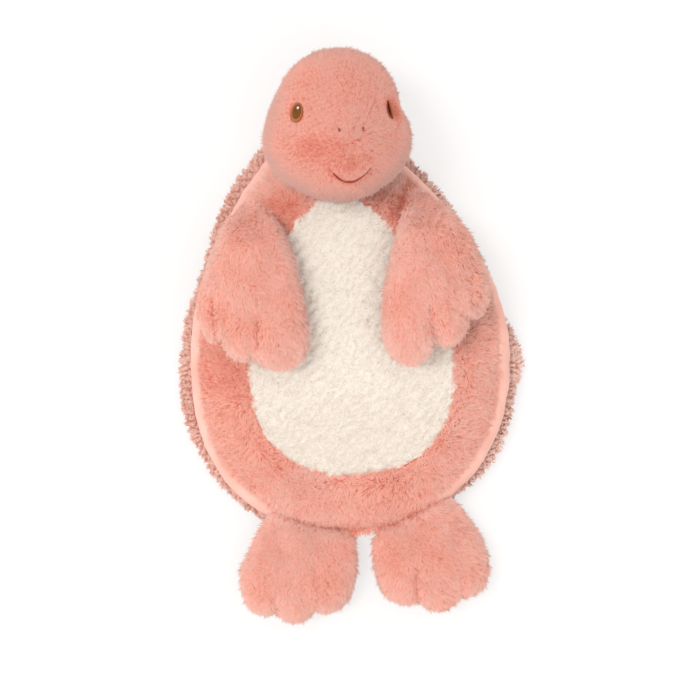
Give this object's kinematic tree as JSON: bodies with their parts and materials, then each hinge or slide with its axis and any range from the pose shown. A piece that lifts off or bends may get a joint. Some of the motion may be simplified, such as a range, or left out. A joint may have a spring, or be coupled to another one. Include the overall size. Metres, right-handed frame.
{
  "type": "plush turtle",
  "caption": "Flat plush sea turtle lying on its back: turned head, pale embossed belly, curly shell edge, two forelegs folded on the belly and two hind feet.",
  "frame": {"origin": "on the floor under the middle of the body, on the flat back of the shell that the toy lies on", "axes": "+Y from the feet to the head, +Z from the shell up to the belly, +X to the turtle's own left"},
  "size_m": [0.257, 0.4178, 0.1047],
  "materials": {
    "coral_plush": "short dense plush pile, matt",
    "shell_curly_pile": "curly plush pile, matt",
    "band_velour": "smooth brushed velour",
    "tummy_cream_plush": "embossed plush, woven relief",
    "polyester_filling": "loose fibre filling",
    "stitch_thread": "embroidery thread",
    "eye_iris_thread": "satin stitch thread",
    "eye_pupil_thread": "satin stitch thread",
    "eye_glint_thread": "satin stitch thread"
  },
  "bodies": {
    "torso": {"shell_cover": "shell_curly_pile", "edge_band": "band_velour", "belly_border": "coral_plush", "tummy_panel": "tummy_cream_plush", "body_filling": "polyester_filling"},
    "neck": {"neck_collar": "coral_plush"},
    "head": {"head_gusset": "coral_plush", "head_side_left": "coral_plush", "head_side_right": "coral_plush", "chin_panel": "coral_plush", "head_filling": "polyester_filling", "mouth_stitch": "stitch_thread", "eye_iris_left": "eye_iris_thread", "eye_pupil_left": "eye_pupil_thread", "eye_glint_left": "eye_glint_thread", "nostril_stitch_left": "stitch_thread", "eye_iris_right": "eye_iris_thread", "eye_pupil_right": "eye_pupil_thread", "eye_glint_right": "eye_glint_thread", "nostril_stitch_right": "stitch_thread"},
    "foreleg_left": {"foreleg_left_top": "coral_plush", "foreleg_left_under": "coral_plush", "foreleg_left_filling": "polyester_filling", "foreleg_left_toe_stitch_1": "stitch_thread", "foreleg_left_toe_stitch_2": "stitch_thread"},
    "foreleg_right": {"foreleg_right_top": "coral_plush", "foreleg_right_under": "coral_plush", "foreleg_right_filling": "polyester_filling", "foreleg_right_toe_stitch_1": "stitch_thread", "foreleg_right_toe_stitch_2": "stitch_thread"},
    "hindleg_left": {"hindleg_left_top": "coral_plush", "hindleg_left_under": "coral_plush", "hindleg_left_filling": "polyester_filling", "hindleg_left_toe_stitch_1": "stitch_thread", "hindleg_left_toe_stitch_2": "stitch_thread"},
    "hindleg_right": {"hindleg_right_top": "coral_plush", "hindleg_right_under": "coral_plush", "hindleg_right_filling": "polyester_filling", "hindleg_right_toe_stitch_1": "stitch_thread", "hindleg_right_toe_stitch_2": "stitch_thread"}
  },
  "joints": [
    {"name": "neck_turn", "type": "hinge", "parent": "torso", "child": "neck", "pos_m": [-0.0016, 0.1742, 0.048], "axis": [0, 1, 0], "range_deg": [-40, 25], "stiffness_Nm_per_rad": 0.05},
    {"name": "head_nod", "type": "hinge", "parent": "neck", "child": "head", "pos_m": [-0.0016, 0.1742, 0.048], "axis": [0.9816, 0, -0.1908], "range_deg": [-20, 25], "stiffness_Nm_per_rad": 0.05},
    {"name": "foreleg_left_lift", "type": "hinge", "parent": "torso", "child": "foreleg_left", "pos_m": [0.064, 0.127, 0.026], "axis": [-0.6, 0.8, 0], "range_deg": [0, 150]},
    {"name": "foreleg_right_lift", "type": "hinge", "parent": "torso", "child": "foreleg_right", "pos_m": [-0.0763, 0.127, 0.026], "axis": [-0.6, -0.8, 0], "range_deg": [0, 150]},
    {"name": "hindleg_left_lift", "type": "hinge", "parent": "torso", "child": "hindleg_left", "pos_m": [0.05, -0.1215, 0.012], "axis": [-0.9878, -0.156, 0], "range_deg": [-45, 75]},
    {"name": "hindleg_right_lift", "type": "hinge", "parent": "torso", "child": "hindleg_right", "pos_m": [-0.05, -0.1215, 0.012], "axis": [-0.9878, 0.156, 0], "range_deg": [-45, 75]}
  ]
}
